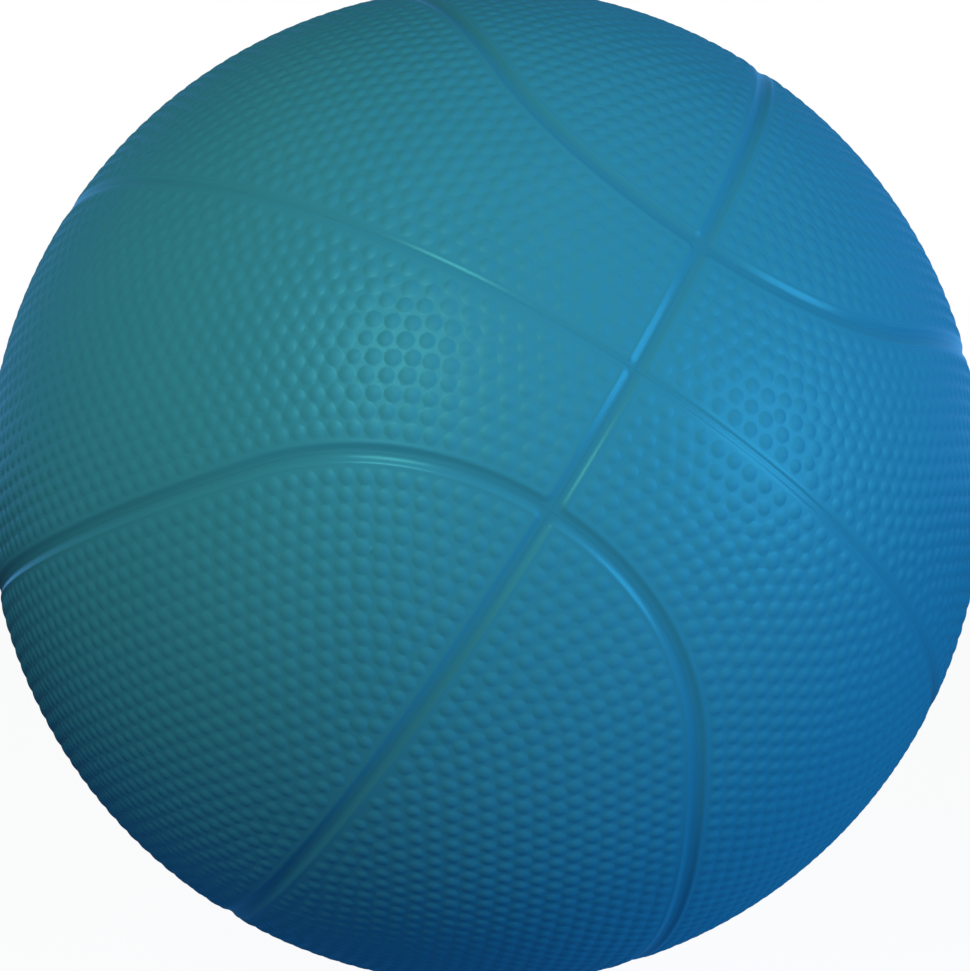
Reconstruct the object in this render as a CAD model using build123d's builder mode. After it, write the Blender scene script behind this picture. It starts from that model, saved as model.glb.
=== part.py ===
from build123d import *
import os
from math import atan, cos, degrees, radians, sin, sqrt, tan

# Inflatable rubber dodgeball, 216 mm across.
# Eight cover panels are bonded to a rubber carcass, which shows as the floor of the channels between them.
# Under the carcass lie a layer of wound thread and the air bladder. The needle valve stands at the top, on +Z.
# The origin is the centre of the ball.

# Layers of the wall, from the outside in
ball_diameter = 216.0
cover_thickness = 1.3
carcass_thickness = 0.7
winding_thickness = 0.4
bladder_thickness = 0.6

# Channels between the cover panels. The equator's is a fine one, where the two halves of the mould part.
channel_width = 2.2
equator_width = 0.4
lip_radius = 1.0
corner_radius = 1.6

# Channel pattern: a meridian and an equator, and a closed loop round each pole.
# A loop reaches loop_end degrees from its pole along the meridian and loop_side degrees across it.
loop_end = 74.0
loop_side = 46.0

# How the pattern lies in the ball: its pole leans from the valve, towards a heading about +Z, and spins on itself
pole_lean = 34.3
pole_heading = 31.5
pattern_spin = -110.0

# Needle valve
neck_radius = 4.5
neck_recess = 0.3
neck_edge_radius = 0.5
flange_radius = 13.0
flange_thickness = 1.6
flange_rim_thickness = 0.6
stem_radius = 5.2
stem_depth = 17.0
stem_end_radius = 1.5
mouth_radius = 2.2
mouth_depth = 1.4
cavity_radius = 3.0
plug_length = 12.0
plug_recess = 0.2
outlet_radius = 0.8
needle_radius = 1.0
needle_depth = 10.0
needle_funnel = 0.5

# Radii that follow
land_radius = ball_diameter / 2
carcass_radius = land_radius - cover_thickness
winding_radius = carcass_radius - carcass_thickness
bladder_radius = winding_radius - winding_thickness
air_radius = bladder_radius - bladder_thickness

centre = (0, 0, 0)
os.makedirs("parts", exist_ok=True)


def height_at(radius, out):
    """Height of a sphere's surface above the ball's centre, at a distance out from the valve's axis."""
    return sqrt(radius**2 - out**2)


def layer(outer, inner):
    """Section of one spherical layer, from the valve's hole round to the foot of the ball."""
    with BuildSketch(Plane.XZ) as section:
        with BuildLine():
            hole_top = (neck_radius, height_at(outer, neck_radius))
            hole_bottom = (neck_radius, height_at(inner, neck_radius))
            Line(hole_bottom, hole_top)
            ThreePointArc(hole_top, (outer, 0), (0, -outer))
            Line((0, -outer), (0, -inner))
            ThreePointArc((0, -inner), (inner, 0), hole_bottom)
        make_face()
    return section.sketch


def stretch(turned_about, off_axis, half_sweep, width=channel_width):
    """One stretch of channel: the slot's section swept about an axis, off_axis degrees away from it."""
    start = turned_about.location * Rot(0, 0, -half_sweep) * Rot(0, off_axis - 90, 0) * Rot(90, 0, 0)
    slot_bottom = winding_radius
    slot_top = land_radius + cover_thickness
    with BuildPart() as cut:
        with BuildSketch(Plane(start)):
            with Locations(((slot_bottom + slot_top) / 2, 0)):
                Rectangle(slot_top - slot_bottom, width)
        revolve(axis=Axis(centre, turned_about.z_dir), revolution_arc=2 * half_sweep)
    return cut.part


# Pattern frame: Z through the poles, X where the meridian meets the equator
pattern = Plane(Rot(0, 0, pole_heading) * Rot(0, pole_lean, 0) * Rot(0, 0, pattern_spin))

# A loop's sides are great circles, and its ends are small circles that run into them without a corner.
# Right-angled triangle on the sphere between the pole, the centre of an end and the axis of a side:
side_axis = 90 - loop_side
rise = radians(side_axis - (loop_end - loop_side))
end_axis = degrees(atan((cos(rise) - cos(radians(side_axis))) / sin(rise)))
end_reach = loop_end - end_axis
end_half_sweep = degrees(atan(tan(radians(side_axis)) / sin(radians(end_axis))))
side_half_sweep = degrees(atan(tan(radians(end_axis)) / sin(radians(side_axis))))

# Loop channel round the upper pole
with BuildPart() as loop:
    for turn in (0, 180):
        end = Plane(pattern.location * Rot(0, 0, turn) * Rot(0, end_axis, 0))
        add(stretch(end, end_reach, end_half_sweep))
        side = Plane(pattern.location * Rot(0, 0, turn + 90) * Rot(0, -side_axis, 0))
        add(stretch(side, 90, side_half_sweep))

# Cover, cut into eight blanks by the channels. The sphere's own seam and poles fall in the meridian channel.
with BuildPart() as cover:
    with Locations(pattern):
        Sphere(land_radius)
        Sphere(carcass_radius, mode=Mode.SUBTRACT)
    add(stretch(pattern, 90, 180, equator_width), mode=Mode.SUBTRACT)
    add(stretch(Plane(pattern.location * Rot(90, 0, 0)), 90, 180), mode=Mode.SUBTRACT)
    add(loop.part, mode=Mode.SUBTRACT)
    add(loop.part.rotate(Axis(centre, pattern.x_dir), 180), mode=Mode.SUBTRACT)


def in_first_quarter(blank):
    """True for the blanks on the +Y and +Z side of the pattern: one inside the loop, one in the band beside it."""
    middle = pattern.to_local_coords(blank.center())
    return middle.Y > 0 and middle.Z > 0


def is_corner(edge):
    """True for the short edge at a panel's corner, which always lies on the meridian channel's wall."""
    return edge.length < 2 * cover_thickness and abs(pattern.to_local_coords(edge.center()).Y) < channel_width


def rounded(blank):
    """A cover panel from its blank, with the corners and the outer lip rounded."""
    with BuildPart() as panel:
        add(blank)
        fillet(panel.edges().filter_by(is_corner), corner_radius)
        fillet(panel.faces().sort_by(SortBy.AREA)[-1].edges(), lip_radius)
    return panel.part


band_blank, loop_blank = cover.part.solids().filter_by(in_first_quarter).sort_by(Axis(centre, pattern.z_dir))

# Loop panels: two inside each loop, the same panel turned half round to four places. The top one holds the valve.
loop_panel = rounded(loop_blank)
with BuildPart() as loop_panel_top:
    add(loop_panel.rotate(Axis(centre, pattern.z_dir), 180))
    with Locations((0, 0, land_radius)):
        Hole(neck_radius, depth=2 * cover_thickness)
loop_panels = {
    "loop_panel_top": loop_panel_top.part,
    "loop_panel_right": loop_panel,
    "loop_panel_bottom": loop_panel.rotate(Axis(centre, pattern.y_dir), 180),
    "loop_panel_left": loop_panel.rotate(Axis(centre, pattern.x_dir), 180),
}

# Band panels: two between the equator and each loop, the same panel turned half round to four places
band_panel = rounded(band_blank)
band_panels = {
    "band_panel_right": band_panel,
    "band_panel_upper_left": band_panel.rotate(Axis(centre, pattern.z_dir), 180),
    "band_panel_lower_right": band_panel.rotate(Axis(centre, pattern.y_dir), 180),
    "band_panel_left": band_panel.rotate(Axis(centre, pattern.x_dir), 180),
}

for name, panel in (loop_panels | band_panels).items():
    panel.label = name
    export_step(panel, f"parts/{name}.step")

# Carcass: the rubber body that the panels are bonded to
with BuildPart() as carcass:
    add(layer(carcass_radius, winding_radius))
    revolve(axis=Axis.Z)
carcass.part.label = "carcass"
export_step(carcass.part, "parts/carcass.step")

# Winding: nylon thread laid in cement all round the bladder, as one layer
with BuildPart() as winding:
    add(layer(winding_radius, bladder_radius))
    revolve(axis=Axis.Z)
winding.part.label = "thread_winding"
export_step(winding.part, "parts/thread_winding.step")

# Bladder: the butyl bag that holds the air
with BuildPart() as bladder:
    add(layer(bladder_radius, air_radius))
    revolve(axis=Axis.Z)
bladder.part.label = "bladder"
export_step(bladder.part, "parts/bladder.step")

# Heights along the valve's axis
neck_top = land_radius - neck_recess
cavity_top = neck_top - mouth_depth
cavity_bottom = cavity_top - plug_length
stem_bottom = neck_top - stem_depth
plug_top = neck_top - plug_recess
needle_bottom = plug_top - needle_depth

# Valve housing: a soft boot, with its flange bonded inside the bladder and its neck just under the cover's face
with BuildPart() as housing:
    with BuildSketch(Plane.XZ):
        with BuildLine():
            flange_top = (neck_radius, height_at(air_radius, neck_radius))
            rim_top = (flange_radius, height_at(air_radius, flange_radius))
            rim_bottom = (flange_radius, rim_top[1] - flange_rim_thickness)
            stem_top = (stem_radius, height_at(air_radius, stem_radius) - flange_thickness)
            Polyline((mouth_radius, neck_top), (neck_radius, neck_top), flange_top)
            RadiusArc(flange_top, rim_top, air_radius)
            Polyline(rim_top, rim_bottom, stem_top, (stem_radius, stem_bottom), (outlet_radius, stem_bottom))
            Polyline((outlet_radius, stem_bottom), (outlet_radius, cavity_bottom), (cavity_radius, cavity_bottom))
            Polyline((cavity_radius, cavity_bottom), (cavity_radius, cavity_top), (mouth_radius, cavity_top))
            Line((mouth_radius, cavity_top), (mouth_radius, neck_top))
        make_face()
    revolve(axis=Axis.Z)
    neck_edge = housing.edges().group_by(Axis.Z)[-1].sort_by(SortBy.RADIUS)[-1]
    stem_edge = housing.edges().group_by(Axis.Z)[0].sort_by(SortBy.RADIUS)[-1]
    fillet(neck_edge, neck_edge_radius)
    fillet(stem_edge, stem_end_radius)
housing.part.label = "valve_housing"
export_step(housing.part, "parts/valve_housing.step")

# Valve plug: the self-sealing core, pressed in through the neck's mouth, with a blind hole for the needle
with BuildPart() as plug:
    with BuildSketch(Plane.XZ):
        with BuildLine():
            Polyline((needle_radius, needle_bottom), (needle_radius, plug_top), (mouth_radius, plug_top))
            Polyline((mouth_radius, plug_top), (mouth_radius, cavity_top), (cavity_radius, cavity_top))
            Polyline((cavity_radius, cavity_top), (cavity_radius, cavity_bottom), (0, cavity_bottom))
            Polyline((0, cavity_bottom), (0, needle_bottom), (needle_radius, needle_bottom))
        make_face()
    revolve(axis=Axis.Z)
    chamfer(plug.edges().group_by(Axis.Z)[-1].sort_by(SortBy.RADIUS)[0], needle_funnel)
plug.part.label = "valve_plug"
export_step(plug.part, "parts/valve_plug.step")
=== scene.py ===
from math import acos, atan, cos, pi, radians, sin, tan

import bmesh
import bpy
import numpy as np
from mathutils import Matrix, Vector
from mathutils.geometry import delaunay_2d_cdt


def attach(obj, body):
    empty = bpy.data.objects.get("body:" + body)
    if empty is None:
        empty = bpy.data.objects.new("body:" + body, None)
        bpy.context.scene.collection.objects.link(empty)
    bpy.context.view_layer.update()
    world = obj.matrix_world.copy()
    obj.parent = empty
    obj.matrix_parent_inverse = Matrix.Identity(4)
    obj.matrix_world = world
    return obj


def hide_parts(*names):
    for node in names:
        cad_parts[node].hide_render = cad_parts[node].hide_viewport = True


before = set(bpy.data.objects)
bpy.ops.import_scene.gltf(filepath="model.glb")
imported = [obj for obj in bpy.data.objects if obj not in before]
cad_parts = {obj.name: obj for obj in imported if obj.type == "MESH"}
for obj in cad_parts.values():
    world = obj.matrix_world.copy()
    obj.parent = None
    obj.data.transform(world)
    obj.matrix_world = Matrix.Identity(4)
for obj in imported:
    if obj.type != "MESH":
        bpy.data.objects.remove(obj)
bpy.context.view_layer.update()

# Bladder: the bag that holds the air, moulded in black butyl rubber 0.6 mm thick.
# It comes out of its mould dusted with talc, and its neck is bonded round the valve's boot.
mm = 0.001
ball_radius = 108 * mm
cover_thickness = 1.3 * mm
carcass_thickness = 0.7 * mm
winding_thickness = 0.4 * mm
bladder_thickness = 0.6 * mm
neck_radius = 4.5 * mm
carcass_radius = ball_radius - cover_thickness
winding_radius = carcass_radius - carcass_thickness
bladder_radius = winding_radius - winding_thickness
air_radius = bladder_radius - bladder_thickness
layer_rings = 49
layer_steps = 96
crease_angle = radians(35)
tiny = 1e-9


def spun(name, profile, steps):
    """A closed mesh: a loop of (distance from the valve's axis, height) points, turned about that axis."""
    shape = bmesh.new()
    rings = []
    for out, height in profile:
        count = steps if out > tiny else 1
        turns = [2 * pi * i / count for i in range(count)]
        rings.append([shape.verts.new((out * cos(turn), out * sin(turn), height)) for turn in turns])
    for this, following in zip(rings, rings[1:] + rings[:1]):
        for i in range(steps):
            corners = [this[i % len(this)], this[(i + 1) % len(this)]]
            corners += [following[(i + 1) % len(following)], following[i % len(following)]]
            corners = list(dict.fromkeys(corners))
            if len(corners) > 2:
                shape.faces.new(corners).smooth = True
    bmesh.ops.recalc_face_normals(shape, faces=shape.faces)
    mesh = bpy.data.meshes.new(name)
    shape.to_mesh(mesh)
    shape.free()
    mesh.set_sharp_from_angle(angle=crease_angle)
    return mesh


def layer(outer, inner, rings):
    """Profile of a spherical layer that is open at the top for the valve's neck."""
    tops = [np.arcsin(neck_radius / radius) for radius in (outer, inner)]
    down = [(outer * sin(turn), outer * cos(turn)) for turn in np.linspace(tops[0], pi, rings)]
    up = [(inner * sin(turn), inner * cos(turn)) for turn in np.linspace(pi, tops[1], rings)]
    return down + up


def linear(code):
    """An sRGB hex colour as the linear colour that sockets take."""
    shares = [int(code[i:i + 2], 16) / 255 for i in (1, 3, 5)]
    return (*[s / 12.92 if s <= 0.04045 else ((s + 0.055) / 1.055) ** 2.4 for s in shares], 1)


def add_node(tree, kind, settings=None, links=None):
    """Adds a node, sets its properties and input values, and links other nodes' outputs to its inputs."""
    node = tree.nodes.new(kind)
    for key, value in (settings or {}).items():
        if isinstance(key, str) and hasattr(node, key):
            setattr(node, key, value)
        else:
            node.inputs[key].default_value = value
    for key, socket in (links or {}).items():
        tree.links.new(socket, node.inputs[key])
    return node


def new_material(name):
    """An empty node material, and its tree."""
    material = bpy.data.materials.new(name)
    material.use_nodes = True
    material.node_tree.nodes.clear()
    return material, material.node_tree


def mottled(tree, patch, darker, lighter, detail):
    """Noise with patches of a real size all over a piece, and a colour that wanders between two with it."""
    place = add_node(tree, "ShaderNodeTexCoord")
    noise = add_node(tree, "ShaderNodeTexNoise", {"Scale": 1 / patch, "Detail": detail},
                     {"Vector": place.outputs["Object"]})
    tone = add_node(tree, "ShaderNodeMix", {"data_type": "RGBA", 6: linear(darker), 7: linear(lighter)},
                    {0: noise.outputs["Fac"]})
    return noise.outputs["Fac"], tone.outputs[2]


def coat(tree, settings, links):
    """Ends a material's tree with its surface."""
    skin = add_node(tree, "ShaderNodeBsdfPrincipled", settings, links)
    add_node(tree, "ShaderNodeOutputMaterial", None, {"Surface": skin.outputs[0]})


def fit(name, mesh, material, node):
    """Puts a finished mesh in the scene as the piece that stands for a CAD node."""
    piece = bpy.data.objects.new(name, mesh)
    bpy.context.scene.collection.objects.link(piece)
    mesh.materials.clear()
    mesh.materials.append(material)
    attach(piece, "root")
    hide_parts(node)


# Talc lies in faint clouds on the dull black butyl
butyl, tree = new_material("talced_butyl_rubber")
talc_cloud = 18 * mm
_, tone = mottled(tree, talc_cloud, "#17181A", "#4A4B4C", detail=6)
coat(tree, {"Roughness": 0.7, "IOR": 1.5}, {"Base Color": tone})
bag = spun("bladder_bag", layer(bladder_radius, air_radius, layer_rings), layer_steps)
fit("bladder_bag", bag, butyl, "bladder")

# Valve housing: a boot moulded in soft black rubber, with its flange bonded inside the bladder.
# Its neck comes up through every layer of the wall and ends just under the cover's face.
neck_recess = 0.3 * mm
neck_edge_radius = 0.5 * mm
flange_radius = 13 * mm
flange_rim_thickness = 0.6 * mm
flange_thickness = 1.6 * mm
stem_radius = 5.2 * mm
stem_depth = 17 * mm
stem_end_radius = 1.5 * mm
mouth_radius = 2.2 * mm
mouth_depth = 1.4 * mm
cavity_radius = 3 * mm
cavity_length = 12 * mm
outlet_radius = 0.8 * mm
neck_top = ball_radius - neck_recess
stem_bottom = neck_top - stem_depth
cavity_top = neck_top - mouth_depth
cavity_bottom = cavity_top - cavity_length
valve_steps = 96
edge_points = 7
flange_points = 9


def arc(out, height, radius, first, last, count):
    """Profile points on an arc round (out, height) between two angles; 0 leads away from the axis."""
    return [(out + radius * cos(a), height + radius * sin(a)) for a in np.linspace(first, last, count)]


boot = [(mouth_radius, neck_top)]
boot += arc(neck_radius - neck_edge_radius, neck_top - neck_edge_radius, neck_edge_radius,
            pi / 2, 0, edge_points)
boot += arc(0, 0, air_radius,
            acos(neck_radius / air_radius), acos(flange_radius / air_radius), flange_points)
boot.append((flange_radius, boot[-1][1] - flange_rim_thickness))
boot.append((stem_radius, (air_radius ** 2 - stem_radius ** 2) ** 0.5 - flange_thickness))
boot += arc(stem_radius - stem_end_radius, stem_bottom + stem_end_radius, stem_end_radius,
            0, -pi / 2, edge_points)
boot += [(outlet_radius, stem_bottom), (outlet_radius, cavity_bottom), (cavity_radius, cavity_bottom)]
boot += [(cavity_radius, cavity_top), (mouth_radius, cavity_top)]

# Fine grit takes the shine off the soft rubber, of which only the neck's end shows
boot_rubber, tree = new_material("soft_boot_rubber")
grit = 0.4 * mm
grit_depth = 0.03 * mm
grits, tone = mottled(tree, grit, "#1A232C", "#27323D", detail=4)
dents = add_node(tree, "ShaderNodeBump", {"Strength": 0.2, "Distance": grit_depth}, {"Height": grits})
coat(tree, {"Roughness": 0.5, "IOR": 1.5}, {"Base Color": tone, "Normal": dents.outputs[0]})
fit("valve_boot", spun("valve_boot", boot, valve_steps), boot_rubber, "valve_housing")

# Valve plug: the self-sealing core, cut from matte black rubber and pressed in through the housing's mouth.
# The needle goes in by the funnel and the blind hole, and parts the rubber under it.
needle_radius = 1 * mm
needle_funnel = 0.5 * mm
needle_depth = 10 * mm
plug_recess = 0.2 * mm
plug_top = neck_top - plug_recess
needle_bottom = plug_top - needle_depth
core = [(needle_radius, needle_bottom), (needle_radius, plug_top - needle_funnel)]
core += [(needle_radius + needle_funnel, plug_top), (mouth_radius, plug_top), (mouth_radius, cavity_top)]
core += [(cavity_radius, cavity_top), (cavity_radius, cavity_bottom), (0, cavity_bottom), (0, needle_bottom)]

# Dust dulls the black core, so that the needle's hole reads as the darkest spot of the valve
core_rubber, tree = new_material("matte_core_rubber")
dust = 0.7 * mm
_, tone = mottled(tree, dust, "#141517", "#26282B", detail=5)
coat(tree, {"Roughness": 0.75, "IOR": 1.5}, {"Base Color": tone})
fit("valve_core", spun("valve_core", core, valve_steps), core_rubber, "valve_plug")

# Winding: nylon thread laid in wet cement all round the bladder, turn over turn, to hold the ball's size.
# Every turn is a great circle that passes beside the valve's neck, and the cement fills the layer under it.
thread_radius = 0.14 * mm
thread_sides = 3
thread_turns = 190
turn_steps = 128
cement_depth = 0.2 * mm
# How high the turns' axes stand on a ball of radius 1: the first turn passes 6 mm beside the valve's middle
least_rise = 0.06
most_rise = 0.99

# Dried cement yellows the white nylon in patches and leaves it dull
nylon, tree = new_material("cemented_nylon_thread")
cement_patch = 9 * mm
patches, tone = mottled(tree, cement_patch, "#D8CDAE", "#EDE7D8", detail=5)
dull = add_node(tree, "ShaderNodeMapRange", {"To Min": 0.75, "To Max": 0.5}, {"Value": patches})
coat(tree, {"IOR": 1.53}, {"Base Color": tone, "Roughness": dull.outputs[0]})

# Geometry Nodes lay one turn round each axis and join the turns to the cement
winding = bpy.data.node_groups.new("thread_turns", "GeometryNodeTree")
winding.interface.new_socket("Geometry", in_out="INPUT", socket_type="NodeSocketGeometry")
axes_in = winding.interface.new_socket("Axes", in_out="INPUT", socket_type="NodeSocketObject")
turn_in = winding.interface.new_socket("Turn Radius", in_out="INPUT", socket_type="NodeSocketFloat")
thread_in = winding.interface.new_socket("Thread Radius", in_out="INPUT", socket_type="NodeSocketFloat")
nylon_in = winding.interface.new_socket("Nylon", in_out="INPUT", socket_type="NodeSocketMaterial")
winding.interface.new_socket("Geometry", in_out="OUTPUT", socket_type="NodeSocketGeometry")
given = add_node(winding, "NodeGroupInput")
axes = add_node(winding, "GeometryNodeObjectInfo", None, {"Object": given.outputs["Axes"]})
turn = add_node(winding, "GeometryNodeCurvePrimitiveCircle", {"Resolution": turn_steps},
                {"Radius": given.outputs["Turn Radius"]})
spot = add_node(winding, "GeometryNodeInputPosition")
tilt = add_node(winding, "FunctionNodeAlignRotationToVector", {"axis": "Z"}, {"Vector": spot.outputs[0]})
laid = add_node(winding, "GeometryNodeInstanceOnPoints", None,
                {"Points": axes.outputs["Geometry"], "Instance": turn.outputs[0],
                 "Rotation": tilt.outputs[0]})
back = add_node(winding, "ShaderNodeVectorMath", {"operation": "SCALE", "Scale": -1.0}, {0: spot.outputs[0]})
centred = add_node(winding, "GeometryNodeTranslateInstances", {"Local Space": False},
                   {"Instances": laid.outputs[0], "Translation": back.outputs[0]})
turns = add_node(winding, "GeometryNodeRealizeInstances", None, {0: centred.outputs[0]})
section = add_node(winding, "GeometryNodeCurvePrimitiveCircle", {"Resolution": thread_sides},
                   {"Radius": given.outputs["Thread Radius"]})
thread = add_node(winding, "GeometryNodeCurveToMesh", {"Fill Caps": False},
                  {"Curve": turns.outputs[0], "Profile Curve": section.outputs[0]})
both = add_node(winding, "GeometryNodeJoinGeometry", None, {0: given.outputs["Geometry"]})
winding.links.new(thread.outputs[0], both.inputs[0])
realized = add_node(winding, "GeometryNodeRealizeInstances", None, {0: both.outputs[0]})
coated = add_node(winding, "GeometryNodeSetMaterial", None,
                  {"Geometry": realized.outputs[0], "Material": given.outputs["Nylon"]})
add_node(winding, "NodeGroupOutput", None, {0: coated.outputs[0]})


def baked(blank, points, tree, inputs):
    """The mesh that a Geometry Nodes tree makes of a blank mesh and the points it works from."""
    blank_object = bpy.data.objects.new("blank", blank)
    points_object = bpy.data.objects.new("points", points)
    bpy.context.scene.collection.objects.link(blank_object)
    bpy.context.scene.collection.objects.link(points_object)
    modifier = blank_object.modifiers.new("tree", "NODES")
    modifier.node_group = tree
    for socket, value in inputs.items():
        modifier[socket] = points_object if value == "points" else value
    ready = bpy.context.evaluated_depsgraph_get()
    mesh = bpy.data.meshes.new_from_object(blank_object.evaluated_get(ready), preserve_all_data_layers=True,
                                           depsgraph=ready)
    blank_object.modifiers.clear()
    bpy.data.objects.remove(blank_object)
    bpy.data.objects.remove(points_object)
    return mesh


golden_turn = pi * (3 - 5 ** 0.5)
rises = np.linspace(least_rise, most_rise, thread_turns)
around = golden_turn * np.arange(thread_turns)
spread = np.sqrt(1 - rises ** 2)
axis_ends = np.column_stack((spread * np.cos(around), spread * np.sin(around), rises))
axis_points = bpy.data.meshes.new("thread_axes")
axis_points.from_pydata(axis_ends.tolist(), [], [])
cement = spun("cement", layer(bladder_radius + cement_depth, bladder_radius, layer_rings), layer_steps)
wound = baked(cement, axis_points, winding, {
    axes_in.identifier: "points",
    turn_in.identifier: winding_radius - thread_radius,
    thread_in.identifier: thread_radius,
    nylon_in.identifier: nylon,
})
fit("wound_thread", wound, nylon, "thread_winding")

# Carcass: the rubber body over the winding, 0.7 mm thick, which the cover panels are bonded to.
# It is moulded smooth, and the panels' feet leave only hairlines of it in sight along the channels.
carcass_rings = 97
carcass_steps = 192
moulded_shine = {"IOR": 1.5, "Specular IOR Level": 0.2, "Specular Tint": linear("#70DDFF")}

# A little darker than the cover, as painted shade that deepens the channels where its hairlines show, and as
# weakly shiny
carcass_rubber, tree = new_material("smooth_moulded_rubber")
floor_mottle = 12 * mm
_, tone = mottled(tree, floor_mottle, "#2C7391", "#2F7795", detail=5)
coat(tree, moulded_shine | {"Roughness": 0.4}, {"Base Color": tone})
body = spun("carcass_body", layer(carcass_radius, winding_radius, carcass_rings), carcass_steps)
fit("carcass_body", body, carcass_rubber, "carcass")

# Cover panels: moulded rubber, 1.3 mm thick, bonded to the carcass with rolled lips along the channels.
# There are two shapes, each in four places: one inside a loop channel, the other in the band beside it.
# The outer face is all pebbles, in rows along the loop channel. The top panel also has the valve's hole.
pole_lean = radians(34.3)
pole_heading = radians(31.5)
pattern_spin = radians(-110)
pattern = Matrix.Rotation(pole_heading, 4, "Z") @ Matrix.Rotation(pole_lean, 4, "Y")
pattern = pattern @ Matrix.Rotation(pattern_spin, 4, "Z")

# The loop's sides are great circles, and its ends small circles that run into them
loop_end = radians(74)
loop_side = radians(46)
side_axis = pi / 2 - loop_side
rise = side_axis - (loop_end - loop_side)
end_axis = atan((cos(rise) - cos(side_axis)) / sin(rise))
end_reach = loop_end - end_axis
end_sweep = atan(tan(side_axis) / sin(end_axis))
side_sweep = atan(tan(end_axis) / sin(side_axis))
end_centre = np.array((sin(end_axis), 0, cos(end_axis)))
end_away = np.array((cos(end_axis), 0, -sin(end_axis)))
side_pole = np.array((0, -sin(side_axis), cos(side_axis)))
side_middle = np.array((0, sin(loop_side), cos(loop_side)))
across = np.array((0, -1, 1)) / 2 ** 0.5

# Half of each channel, from its middle line to a panel's wall, and the rounding of the panels' corners
channel_half = 1.1 * mm
equator_half = 0.2 * mm
corner_radius = 1.6 * mm

# A lip begins lip_width inside the wall, swells by the bead and rolls over, from wall_top inside the wall
# to wall_foot outside it. The rest of the foot is flat. The equator's lip is shallower and narrower.
# The rows are shares of the way from the skin's edge to the end of the foot.
lip_width = 1.45 * mm
lip_bead = 0.05 * mm
lip_drop = 0.4 * mm
wall_top = 1.05 * mm
wall_foot = 0.85 * mm
foot_width = 1.09 * mm
equator_lip = 0.95 * mm
equator_drop = 0.12 * mm
equator_foot = 0.19 * mm
equator_floor = 0.1 * mm
feet_widths = (foot_width, foot_width, equator_foot)
lip_rows = (0.1, 0.19, 0.28, 0.37, 0.46, 0.55, 0.64, 0.72, 0.8, 0.88, 1)
lip_passes = 6
border_step = 0.3 * mm

# Pebbles, the rings of points over each, and the points that fill the skin between them
pebble_height = 0.23 * mm
land_radius = ball_radius - pebble_height
pebble_radius = 1.6 * mm
pebble_spread = 0.14 * mm
pebble_pitch = 3.6 * mm
row_pitch = 3.25 * mm
first_row = 4.35 * mm
row_slack = 0.1 * mm
chance = np.random.default_rng(7)
pebble_shake = 0.22 * mm
pebble_push = 0.4 * mm
push_reach = 1.3 * pebble_pitch
push_rounds = 60
pebble_rings = ((0.42, 6), (0.78, 10), (1, 12))
valley_width = 0.14 * mm
valley_points = 12
ring_margin = 0.1 * mm
filler_start = 2.5 * mm
filler_rows = 1.2 * mm
filler_pitch = 1.3 * mm
filler_margin = 0.5 * mm
filler_gap = 0.4 * mm

# The valve's hole with its rounded edge, and the smooth collar round it, as high as the pebbles
hole_lip = 0.45 * mm
hole_points = 48
hole_rows = 6
collar_radius = 7.5 * mm
collar_edge = 0.5 * mm
collar_rows = np.linspace(-1.5, 0.5, 9) * mm
collar_points = 96
collar_gap = 0.4 * mm
collar_filler_gap = 0.8 * mm

# Points that fill the underside
under_start = 8 * mm
under_rows = 5 * mm
under_pitch = 5.5 * mm
under_margin = 3 * mm
under_hole_margin = 2 * mm


def unit(p):
    """Directions of length 1."""
    return p / np.linalg.norm(p, axis=-1, keepdims=True)


def inside_loop(p):
    """How far directions lie inside the loop channel's middle line, in metres along the ball."""
    p = np.column_stack((abs(p[:, 0]), p[:, 1], p[:, 2]))
    from_end = end_reach - np.arccos(np.clip(p @ end_centre, -1, 1))
    from_side = np.arcsin(np.clip(p @ side_pole, -1, 1))
    return ball_radius * np.where(p @ np.cross(end_centre, side_pole) > 0, from_end, from_side)


def walls(p, kind):
    """How far directions lie inside a panel's walls: the meridian's, the loop's and a band's equator's."""
    way = 1 if kind == "loop" else -1
    insets = [ball_radius * np.arcsin(np.clip(p[:, 1], -1, 1)) - channel_half]
    insets.append(way * inside_loop(p) - channel_half)
    if kind == "band":
        insets.append(ball_radius * np.arcsin(np.clip(p[:, 2], -1, 1)) - equator_half)
    return insets


def from_wall(p, kind):
    """How far directions lie inside a panel's outline, in metres along the ball, with its corners rounded."""
    meridian, *others = walls(p, kind)
    other = np.min(others, axis=0)
    into_a = np.maximum(corner_radius - meridian, 0)
    into_b = np.maximum(corner_radius - other, 0)
    rounded = corner_radius - np.hypot(into_a, into_b)
    return np.where(into_a + into_b > 0, rounded, np.minimum(meridian, other))


def foot_reach(p, kind):
    """How far a panel's foot lies outside its outline, so that the feet meet at the crossings."""
    into = [np.maximum(corner_radius - inset, tiny) for inset in walls(p, kind)]
    shares = [(corner_radius + foot) / i for i, foot in zip(into, feet_widths)]
    return np.sqrt(np.sum(np.square(into), axis=0)) * np.min(shares, axis=0) - corner_radius


def squared(border, kind):
    """Directions round a panel, the nearest to each corner moved to where its foot points at the crossing."""
    into = [np.maximum(corner_radius - inset, 0) / (corner_radius + foot)
            for inset, foot in zip(walls(border, kind), feet_widths)]
    border = border.copy()
    for other in into[1:]:
        lead = into[0] - other
        for i in np.flatnonzero((lead * np.roll(lead, -1) <= 0) & (into[0] > 0) & (other > 0)):
            j = (i + 1) % len(border)
            share = lead[i] / (lead[i] - lead[j])
            corner = unit(border[i] + share * (border[j] - border[i]))
            border[i if share < 0.5 else j] = corner
    return border


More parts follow.
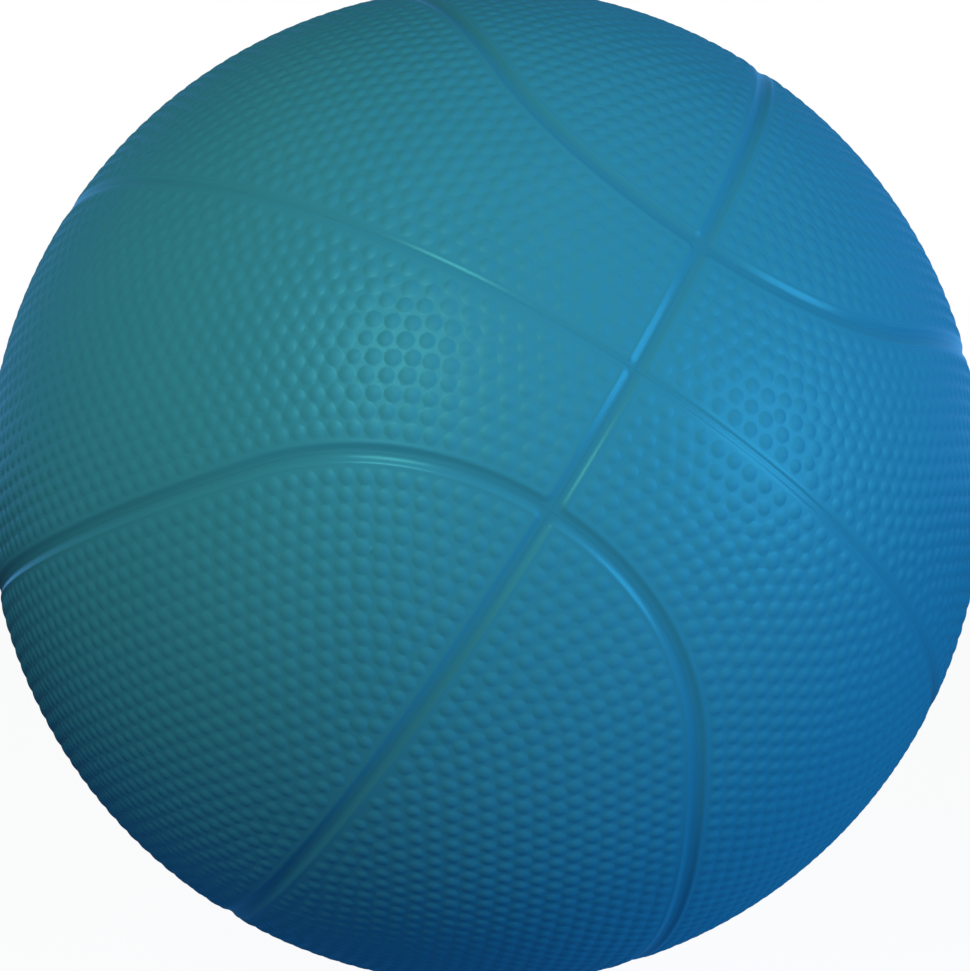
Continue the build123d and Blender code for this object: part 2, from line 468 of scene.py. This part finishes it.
def beside_equator(p):
    """1 for directions along the equator's lip, 0 along the others, and between the two round a corner."""
    from_meridian, from_equator = ball_radius * np.arcsin(np.clip(p[:, 1:].T, -1, 1))
    meridian = np.maximum(corner_radius + channel_half - from_meridian, 0)
    equator = np.maximum(corner_radius + equator_half - from_equator, 0)
    never_zero = 1e-12
    return equator ** 2 / (meridian ** 2 + equator ** 2 + never_zero)


def row_of_points(inset, pitch, start, odd):
    """Directions spaced along a line beside the loop channel, with an odd or even number of gaps."""
    angle = inset / ball_radius
    end_angle = end_reach - angle
    side_limit = side_sweep if end_angle > 0 else acos(min(1, tan(side_axis) * tan(angle)))
    end_length = ball_radius * sin(max(end_angle, 0)) * end_sweep
    side_length = 2 * ball_radius * cos(angle) * side_limit
    total = 2 * end_length + side_length
    count = 2 * round(((total - 2 * start) / pitch - odd) / 2) + odd
    if count < 1:
        return np.zeros((0, 3))
    along = np.linspace(start, total - start, count + 1)
    mirrored = along > total / 2
    along = np.where(mirrored, total - along, along)
    turn = along / max(ball_radius * sin(max(end_angle, 0)), tiny)
    on_end = along < end_length
    turn = np.where(on_end, turn, 0)[:, None]
    round_end = end_away * np.cos(turn) + np.array((0, 1, 0)) * np.sin(turn)
    ends = end_centre * cos(end_angle) + round_end * sin(end_angle)
    swing = side_limit - (along - end_length)[:, None] / (ball_radius * cos(angle))
    round_side = side_middle * np.cos(swing) + np.array((1, 0, 0)) * np.sin(swing)
    sides = side_pole * sin(angle) + cos(angle) * round_side
    points = np.where(on_end[:, None], ends, sides)
    points[mirrored, 0] *= -1
    return points


def rows_of_points(kind, first, spacing, pitch, start):
    """Directions in staggered rows all over a panel, each row one spacing further from the loop channel."""
    way, depth = (1, loop_side) if kind == "loop" else (-1, side_axis)
    count = int((ball_radius * depth - first) / spacing)
    return np.vstack([row_of_points(way * (first + i * spacing), pitch, start + pitch / 2 * (i % 2), i % 2)
                      for i in range(count)])


def uphill(p, kind):
    """Directions along the ball that lead straight away from a panel's wall."""
    step = 1e-5
    right = unit(np.cross(p, across))
    up = np.cross(p, right)
    by_right = from_wall(p + step * right, kind) - from_wall(p - step * right, kind)
    by_up = from_wall(p + step * up, kind) - from_wall(p - step * up, kind)
    return unit(by_right[:, None] * right + by_up[:, None] * up)


def moved_from_wall(p, kind, inset, passes=3):
    """Directions moved straight towards or away from a panel's wall, to a distance inside it."""
    for _ in range(passes):
        p = unit(p + uphill(p, kind) * (inset - from_wall(p, kind))[:, None] / ball_radius)
    return p


def outline(kind, start, inset, spacing):
    """Directions all round a panel at a distance inside its wall, in even steps from the start's side."""
    points = [moved_from_wall(start[None], kind, inset)]
    step = spacing / ball_radius
    last_gap = 1.2 * step
    while len(points) < 3 or np.linalg.norm(points[-1] - points[0]) > last_gap:
        last = points[-1]
        ahead = unit(last + step * np.cross(uphill(last, kind), last))
        points.append(moved_from_wall(ahead, kind, inset, 1))
    return moved_from_wall(np.vstack(points), kind, inset)


def ring(middles, radius, count):
    """Directions in a circle round each middle, at a distance along the ball."""
    right = unit(np.cross(middles, across))
    up = np.cross(middles, right)
    turn = 2 * pi * np.arange(count)[:, None, None] / count
    angle = np.reshape(radius, (-1, 1)) / ball_radius
    circle = middles * np.cos(angle) + (right * np.cos(turn) + up * np.sin(turn)) * np.sin(angle)
    return circle.reshape(-1, 3)


def settled(p, kind):
    """Directions in rows, shaken a little and then pushed apart until they lie like a honeycomb."""
    neighbours = 10
    rounds_per_look = 10
    p = unit(p + chance.normal(0, pebble_shake / ball_radius, p.shape))
    for i in range(push_rounds):
        if i % rounds_per_look == 0:
            near = np.argsort(-(p @ p.T), axis=1)[:, 1:neighbours + 1]
        gap = p[:, None] - p[near]
        distance = np.linalg.norm(gap, axis=2, keepdims=True)
        push = gap / distance * np.maximum(1 - distance * ball_radius / push_reach, 0)
        p = unit(p + pebble_push / ball_radius * push.sum(1))
        close = from_wall(p, kind) < first_row - channel_half
        p[close] = moved_from_wall(p[close], kind, first_row - channel_half, 1)
    return p


def triangles(middle, loops, inner):
    """Triangles between closed loops of directions and through points inside, seen from a panel's middle."""
    points = np.vstack(loops + [inner])
    right = unit(np.cross(middle, across))
    flat = points @ np.column_stack((right, np.cross(middle, right))) * 2 / (1 + points @ middle)[:, None]
    # The triangulation works in single precision, so the test after it uses the same rounded numbers
    flat = flat.astype(np.float32).astype(float)
    edges, first = [], 0
    for loop in loops:
        edges += [(first + i, first + (i + 1) % len(loop)) for i in range(len(loop))]
        first += len(loop)
    every_triangle = 0
    faces = np.array(delaunay_2d_cdt(flat.tolist(), edges, [], every_triangle, tiny, True)[2])
    # A triangle with all its corners on the loops may lie outside them.
    # It is inside if a line from its middle crosses the loops an odd number of times.
    on_loops = faces.max(1) < first
    x, y = flat[faces[on_loops]].mean(1).T[:, :, None]
    (x_from, y_from), (x_to, y_to) = flat[np.array(edges)].transpose(1, 2, 0)
    passed = (y_from > y) != (y_to > y)
    ahead = ((x_to - x_from) * (y - y_from) > (x - x_from) * (y_to - y_from)) == (y_to > y_from)
    kept = np.ones(len(faces), bool)
    kept[on_loops] = (passed & ahead).sum(1) % 2 == 1
    return points, faces[kept]


def panel_mesh(name, kind, middle, valve=None):
    """A closed cover panel on the pattern's +Y, +Z quarter, not pebbled yet, and its pebbles' middles."""
    border = squared(outline(kind, side_middle, -foot_width, border_step), kind)
    edge = moved_from_wall(border, kind, lip_width, lip_passes)
    pebbles = rows_of_points(kind, first_row, row_pitch, pebble_pitch, first_row)
    pebbles = pebbles[from_wall(pebbles, kind) > first_row - channel_half - row_slack]
    pebbles = settled(pebbles, kind)
    filler = rows_of_points(kind, filler_start, filler_rows, filler_pitch, filler_start)
    filler = filler[from_wall(filler, kind) > lip_width + filler_margin]
    loops = [edge]
    collar = []
    if valve is not None:
        loops.append(ring(valve[None], neck_radius + hole_lip, hole_points)[::-1])
        pebbles = pebbles[pebbles @ valve < cos((collar_radius + collar_gap + pebble_radius) / ball_radius)]
        filler = filler[filler @ valve < cos((collar_radius + collar_filler_gap) / ball_radius)]
        collar = [ring(valve[None], collar_radius + inset, collar_points) for inset in collar_rows]
    girth = pebble_radius + chance.uniform(-pebble_spread, pebble_spread, len(pebbles))
    valley = girth + valley_width
    nearest = (filler @ pebbles.T).argmax(1)
    beside = (filler * pebbles[nearest]).sum(1)
    filler = filler[beside < np.cos((valley[nearest] + filler_gap) / ball_radius)]
    rings = [ring(pebbles, share * girth, count) for share, count in pebble_rings]
    rings = np.vstack(rings + [ring(pebbles, valley, valley_points)])
    rings = rings[from_wall(rings, kind) > lip_width + ring_margin]
    skin, faces = triangles(middle, loops, np.vstack([pebbles, filler, rings] + collar))
    faces = faces.tolist()
    height = np.full(len(skin), land_radius)
    if valve is not None:
        from_valve = ball_radius * np.arccos(np.clip(skin @ valve, -1, 1))
        inside_collar = (collar_radius - from_valve) / collar_edge
        height += pebble_height * (1 + np.sin(pi / 2 * np.clip(inside_collar, -1, 1))) / 2
    points = [skin * height[:, None]]
    count = len(skin)

    def skirt(first, size, rows):
        """Strips of faces from a loop of the skin, down through rows of directions and radii."""
        nonlocal count
        for direction, radius in rows:
            points.append(direction * radius)
            for i in range(size):
                j = (i + 1) % size
                faces.append([first + j, first + i, count + i, count + j])
            first = count
            count += size
        return first

    fine = beside_equator(border)
    lip = wall_top + (equator_lip - wall_top) * fine
    drop = lip_drop + (equator_drop - lip_drop) * fine
    foot = foot_reach(border, kind)
    trough = np.maximum(equator_floor * fine - wall_foot * (1 - fine), -foot)
    rows = []
    for share in lip_rows:
        inset = lip_width - (lip_width + foot) * share
        over = np.clip((lip - inset) / (lip - trough), 0, 1)
        bead = lip_bead * (1 - fine) * np.sin(pi * np.clip(inset / lip_width, 0, 1)) ** 2
        radius = land_radius + bead - drop * (1 - np.cos(pi * over)) / 2
        rows.append((moved_from_wall(border, kind, inset, lip_passes), radius[:, None]))
    rows.append((rows[-1][0], carcass_radius))
    feet = [(skirt(0, len(edge), rows), rows[-1][0])]
    if valve is not None:
        rows = [(ring(valve[None], neck_radius + hole_lip * (1 - sin(a)), hole_points)[::-1],
                 ball_radius - hole_lip * (1 - cos(a))) for a in np.linspace(0, pi / 2, hole_rows)[1:]]
        rows.append((rows[-1][0], carcass_radius))
        feet.append((skirt(len(edge), hole_points, rows), rows[-1][0]))

    inner = rows_of_points(kind, under_start, under_rows, under_pitch, under_start)
    inner = inner[from_wall(inner, kind) > under_margin]
    if valve is not None:
        inner = inner[inner @ valve < cos((neck_radius + under_hole_margin) / ball_radius)]
    _, under_faces = triangles(middle, [directions for _, directions in feet], inner)
    index = np.concatenate([first + np.arange(len(directions)) for first, directions in feet]
                           + [count + np.arange(len(inner))])
    points.append(inner * carcass_radius)
    faces += index[under_faces][:, ::-1].tolist()
    points = np.vstack(points)
    mesh = bpy.data.meshes.new(name)
    mesh.from_pydata(points.tolist(), [], faces)
    mesh.update()

    land = mesh.attributes.new("land", "FLOAT", "POINT")
    land.data.foreach_set("value", (np.arange(len(points)) < len(skin)).astype(np.float32))
    # How far each point lies down in a channel, which the rubber turns into painted shade
    depth = np.clip((land_radius - np.linalg.norm(points, axis=1)) / lip_drop, 0, 1)
    mesh.attributes.new("depth", "FLOAT", "POINT").data.foreach_set("value", depth.astype(np.float32))
    at_foot = np.zeros(len(points), bool)
    for first, directions in feet:
        at_foot[first - len(directions):first + len(directions)] = True
    ends = np.empty(2 * len(mesh.edges), np.int32)
    mesh.edges.foreach_get("vertices", ends)
    crease = mesh.attributes.new("sharp_edge", "BOOLEAN", "EDGE")
    crease.data.foreach_set("value", at_foot[ends.reshape(-1, 2)].all(1))
    middles = bpy.data.meshes.new(name + "_pebbles")
    middles.from_pydata((pebbles * land_radius).tolist(), [], [])
    middles.attributes.new("girth", "FLOAT", "POINT").data.foreach_set("value", girth.astype(np.float32))
    return mesh, middles


# Geometry Nodes raise a round pebble over each middle, and keep its height as an attribute for the rubber
grain = bpy.data.node_groups.new("pebble_grain", "GeometryNodeTree")
grain.interface.new_socket("Geometry", in_out="INPUT", socket_type="NodeSocketGeometry")
pebbles_in = grain.interface.new_socket("Pebbles", in_out="INPUT", socket_type="NodeSocketObject")
height_in = grain.interface.new_socket("Pebble Height", in_out="INPUT", socket_type="NodeSocketFloat")
rubber_in = grain.interface.new_socket("Rubber", in_out="INPUT", socket_type="NodeSocketMaterial")
grain.interface.new_socket("Geometry", in_out="OUTPUT", socket_type="NodeSocketGeometry")
given = add_node(grain, "NodeGroupInput")
middles = add_node(grain, "GeometryNodeObjectInfo", None, {"Object": given.outputs["Pebbles"]})
nearest = add_node(grain, "GeometryNodeProximity", {"target_element": "POINTS"},
                   {0: middles.outputs["Geometry"]})
which = add_node(grain, "GeometryNodeSampleNearest", {"domain": "POINT"}, {0: middles.outputs["Geometry"]})
girth = add_node(grain, "GeometryNodeInputNamedAttribute", {"data_type": "FLOAT", "Name": "girth"})
its_girth = add_node(grain, "GeometryNodeSampleIndex", {"data_type": "FLOAT", "domain": "POINT"},
                     {"Geometry": middles.outputs["Geometry"], "Value": girth.outputs[0],
                      "Index": which.outputs[0]})
share = add_node(grain, "ShaderNodeMath", {"operation": "DIVIDE"},
                 {0: nearest.outputs["Distance"], 1: its_girth.outputs[0]})
square = add_node(grain, "ShaderNodeMath", {"operation": "POWER", 1: 2.0}, {0: share.outputs[0]})
dome = add_node(grain, "ShaderNodeMath", {"operation": "SUBTRACT", "use_clamp": True, 0: 1.0},
                {1: square.outputs[0]})
land = add_node(grain, "GeometryNodeInputNamedAttribute", {"data_type": "FLOAT", "Name": "land"})
raised = add_node(grain, "ShaderNodeMath", {"operation": "MULTIPLY"},
                  {0: dome.outputs[0], 1: land.outputs[0]})
rise_by = add_node(grain, "ShaderNodeMath", {"operation": "MULTIPLY"},
                   {0: raised.outputs[0], 1: given.outputs["Pebble Height"]})
spot = add_node(grain, "GeometryNodeInputPosition")
out = add_node(grain, "ShaderNodeVectorMath", {"operation": "NORMALIZE"}, {0: spot.outputs[0]})
lift = add_node(grain, "ShaderNodeVectorMath", {"operation": "SCALE"},
                {0: out.outputs[0], "Scale": rise_by.outputs[0]})
noted = add_node(grain, "GeometryNodeStoreNamedAttribute",
                 {"data_type": "FLOAT", "domain": "POINT", "Name": "pebble"},
                 {"Geometry": given.outputs["Geometry"], "Value": raised.outputs[0]})
moved = add_node(grain, "GeometryNodeSetPosition", None,
                 {"Geometry": noted.outputs[0], "Offset": lift.outputs[0]})
smooth = add_node(grain, "GeometryNodeSetShadeSmooth", None, {0: moved.outputs[0]})
realized = add_node(grain, "GeometryNodeRealizeInstances", None, {0: smooth.outputs[0]})
coated = add_node(grain, "GeometryNodeSetMaterial", None,
                  {"Geometry": realized.outputs[0], "Material": given.outputs["Rubber"]})
add_node(grain, "NodeGroupOutput", None, {0: coated.outputs[0]})

# Moulded rubber: one colour right through, with painted shade that darkens it down in the channels.
# Its satin skin is scuffed dull on the pebbles' tops, shinier in the valleys and shiniest on the smooth lips.
cover_rubber, tree = new_material("pebbled_moulded_rubber")
cloud = 30 * mm
speck = 0.35 * mm
speck_depth = 0.03 * mm
lip_roughness = 0.25
clouds, tone = mottled(tree, cloud, "#2F7A99", "#347F9F", detail=4)
place = add_node(tree, "ShaderNodeTexCoord")
specks = add_node(tree, "ShaderNodeTexNoise", {"Scale": 1 / speck, "Detail": 3},
                  {"Vector": place.outputs["Object"]})
pebble = add_node(tree, "ShaderNodeAttribute", {"attribute_name": "pebble"})
depth = add_node(tree, "ShaderNodeAttribute", {"attribute_name": "depth"})
land = add_node(tree, "ShaderNodeAttribute", {"attribute_name": "land"})
# Painted shade: the colour darkens towards #2F7796 the deeper a point lies in a channel
painted_channel_shade = add_node(tree, "ShaderNodeMix", {"data_type": "RGBA", 7: linear("#2F7796")},
                    {0: depth.outputs["Fac"], 6: tone})
valley = add_node(tree, "ShaderNodeMapRange", {"To Min": 0.31, "To Max": 0.39}, {"Value": clouds})
scuffs = add_node(tree, "ShaderNodeMapRange", {"To Min": 0.45, "To Max": 0.53},
                  {"Value": specks.outputs["Fac"]})
grained = add_node(tree, "ShaderNodeMix", {"data_type": "FLOAT"},
                   {0: pebble.outputs["Fac"], 2: valley.outputs[0], 3: scuffs.outputs[0]})
gloss = add_node(tree, "ShaderNodeMix", {"data_type": "FLOAT", 2: lip_roughness},
                 {0: land.outputs["Fac"], 3: grained.outputs[0]})
dents = add_node(tree, "ShaderNodeBump", {"Strength": 0.12, "Distance": speck_depth},
                 {"Height": specks.outputs["Fac"]})
coat(tree, moulded_shine,
     {"Base Color": painted_channel_shade.outputs[2], "Roughness": gloss.outputs[0], "Normal": dents.outputs[0]})


def pebbled(name, kind, middle, valve=None):
    """A panel's finished mesh, with its pebbles raised."""
    mesh, middles = panel_mesh(name, kind, middle, valve)
    return baked(mesh, middles, grain, {
        pebbles_in.identifier: "points",
        height_in.identifier: pebble_height,
        rubber_in.identifier: cover_rubber,
    })


loop_middle = np.array((0, sin(loop_side / 2), cos(loop_side / 2)))
band_middle = np.array((0, cos(side_axis / 2), sin(side_axis / 2)))
half_turns = {
    "right": Matrix.Identity(4),
    "left": Matrix.Rotation(pi, 4, "X"),
    "bottom": Matrix.Rotation(pi, 4, "Y"),
    "top": Matrix.Rotation(pi, 4, "Z"),
}
band_places = {"right": "right", "left": "left", "bottom": "lower_right", "top": "upper_left"}
valve_spot = np.array((pattern @ half_turns["top"]).inverted() @ Vector((0, 0, 1)))
loop_shape = pebbled("loop_panel_blank", "loop", loop_middle)
valve_shape = pebbled("valve_panel_blank", "loop", loop_middle, valve_spot)
band_shape = pebbled("band_panel_blank", "band", band_middle)
for place_name, turn in half_turns.items():
    shapes = {
        f"loop_panel_{place_name}": valve_shape if place_name == "top" else loop_shape,
        f"band_panel_{band_places[place_name]}": band_shape,
    }
    for node, shape in shapes.items():
        mesh = shape.copy()
        mesh.transform(pattern @ turn)
        mesh.name = f"{node}_pebbled"
        fit(f"{node}_pebbled", mesh, cover_rubber, node)

# Studio: a floor under the ball and a surround, which the camera sees as plain white.
# Mirror and glass rays see only a dim white, because the rubber's edge would turn grey in a full one.
white = linear("#FFFFFF")
mirror_white = 0.015


def seen_white(tree):
    """How white a ray sees the studio: 1 from the camera, a little from a mirror or glass, and else 0."""
    ray = add_node(tree, "ShaderNodeLightPath")
    shiny = add_node(tree, "ShaderNodeMath", {"operation": "MAXIMUM"},
                     {0: ray.outputs["Is Glossy Ray"], 1: ray.outputs["Is Transmission Ray"]})
    dimmed = add_node(tree, "ShaderNodeMath", {"operation": "MULTIPLY", 1: mirror_white},
                      {0: shiny.outputs[0]})
    return add_node(tree, "ShaderNodeMath", {"operation": "MAXIMUM"},
                    {0: ray.outputs["Is Camera Ray"], 1: dimmed.outputs[0]})


# The surround lights the ball softly in blue, most of it low down from behind
back_light = 1.3
even_light = 0.05
surround = bpy.data.worlds.new("studio")
bpy.context.scene.world = surround
surround.use_nodes = True
tree = surround.node_tree
tree.nodes.clear()
way = add_node(tree, "ShaderNodeTexCoord")
parts = add_node(tree, "ShaderNodeSeparateXYZ", None, {0: way.outputs["Generated"]})
behind = add_node(tree, "ShaderNodeMapRange",
                  {"From Min": -0.2, "From Max": 1, "To Min": 0, "To Max": back_light},
                  {"Value": parts.outputs["Y"]})
low = add_node(tree, "ShaderNodeMapRange", {"From Min": 0.1, "From Max": 0.7, "To Min": 1, "To Max": 0},
               {"Value": parts.outputs["Z"]})
glow_band = add_node(tree, "ShaderNodeMath", {"operation": "MULTIPLY_ADD", 2: even_light},
                     {0: behind.outputs[0], 1: low.outputs[0]})
lit = add_node(tree, "ShaderNodeBackground", {"Color": linear("#62B4FF")}, {"Strength": glow_band.outputs[0]})
seen = add_node(tree, "ShaderNodeBackground", {"Color": white, "Strength": 1})
either = add_node(tree, "ShaderNodeMixShader", None,
                  {0: seen_white(tree).outputs[0], 1: lit.outputs[0], 2: seen.outputs[0]})
add_node(tree, "ShaderNodeOutputWorld", None, {"Surface": either.outputs[0]})

# Paper that is white to the camera and keeps a faint shadow.
# To the ball it is dark blue, and it glows a little beneath it.
floor_white = 0.95
bounce_middle = (0.06, 0, -ball_radius)
bounce_reach = 0.3
bounce_strength = 0.4
paper, tree = new_material("white_paper")
ray = add_node(tree, "ShaderNodeLightPath")
shade = add_node(tree, "ShaderNodeMix", {"data_type": "RGBA", 6: linear("#12304E"), 7: linear("#F2F2F2")},
                 {0: ray.outputs["Is Camera Ray"]})
diffuse = add_node(tree, "ShaderNodeBsdfDiffuse", None, {"Color": shade.outputs[2]})
place = add_node(tree, "ShaderNodeTexCoord")
away = add_node(tree, "ShaderNodeVectorMath", {"operation": "DISTANCE", 1: bounce_middle},
                {0: place.outputs["Object"]})
beneath = add_node(tree, "ShaderNodeMapRange",
                   {"From Max": bounce_reach, "To Min": bounce_strength, "To Max": 0},
                   {"Value": away.outputs["Value"]})
bounced = add_node(tree, "ShaderNodeEmission", {"Color": linear("#1FA8FF")}, {"Strength": beneath.outputs[0]})
lit = add_node(tree, "ShaderNodeAddShader", None, {0: diffuse.outputs[0], 1: bounced.outputs[0]})
glow = add_node(tree, "ShaderNodeEmission", {"Color": white, "Strength": 1})
share_white = add_node(tree, "ShaderNodeMath", {"operation": "MULTIPLY", 1: floor_white},
                       {0: seen_white(tree).outputs[0]})
either = add_node(tree, "ShaderNodeMixShader", None,
                  {0: share_white.outputs[0], 1: lit.outputs[0], 2: glow.outputs[0]})
add_node(tree, "ShaderNodeOutputMaterial", None, {"Surface": either.outputs[0]})
floor_half = 6.0
floor_mesh = bpy.data.meshes.new("floor")
corners = [(x * floor_half, y * floor_half, -ball_radius) for x, y in ((-1, -1), (1, -1), (1, 1), (-1, 1))]
floor_mesh.from_pydata(corners, [], [(0, 1, 2, 3)])
floor_mesh.materials.append(paper)
floor = bpy.data.objects.new("floor", floor_mesh)
bpy.context.scene.collection.objects.link(floor)


def lamp(name, azimuth, elevation, distance, size, watts, colour):
    """A square soft lamp that looks at the ball; azimuth 0 is the camera's side and 90 the right."""
    data = bpy.data.lights.new(name, "AREA")
    data.size = size
    data.energy = watts
    data.color = linear(colour)[:3]
    place = Matrix.Rotation(radians(azimuth), 4, "Z") @ Matrix.Rotation(radians(90 - elevation), 4, "X")
    lamp_object = bpy.data.objects.new(name, data)
    lamp_object.matrix_world = place @ Matrix.Translation((0, 0, distance))
    lamp_object.visible_camera = False
    bpy.context.scene.collection.objects.link(lamp_object)


# The key lamp makes the highlight, the blue one lights the right side and the front one fills the shade
lamp("key_lamp", azimuth=-17.2, elevation=24.8, distance=0.6, size=0.16, watts=2.05, colour="#F6FFD4")
lamp("right_lamp", azimuth=60, elevation=7, distance=1.2, size=0.55, watts=13.9, colour="#7CD7FF")
lamp("front_lamp", azimuth=-20, elevation=0, distance=0.7, size=0.29, watts=0.59, colour="#F4FFD2")

# Camera: level with the ball's middle and five of its radii away, so that the ball just overfills the frame.
# The photograph is 970 pixels wide and the ball's outline in it is 498 in radius.
photo_width = 970
outline_radius = 498
radii_away = 5
focal_pixels = outline_radius * (radii_away ** 2 - 1) ** 0.5
camera_data = bpy.data.cameras.new("camera")
camera_data.sensor_width = 36
camera_data.lens = camera_data.sensor_width * focal_pixels / photo_width
camera = bpy.data.objects.new("camera", camera_data)
camera.location = (0, -radii_away * ball_radius, 0)
camera.rotation_euler = (pi / 2, 0, 0)
bpy.context.scene.collection.objects.link(camera)
bpy.context.scene.camera = camera
bpy.context.scene.view_settings.view_transform = "Standard"
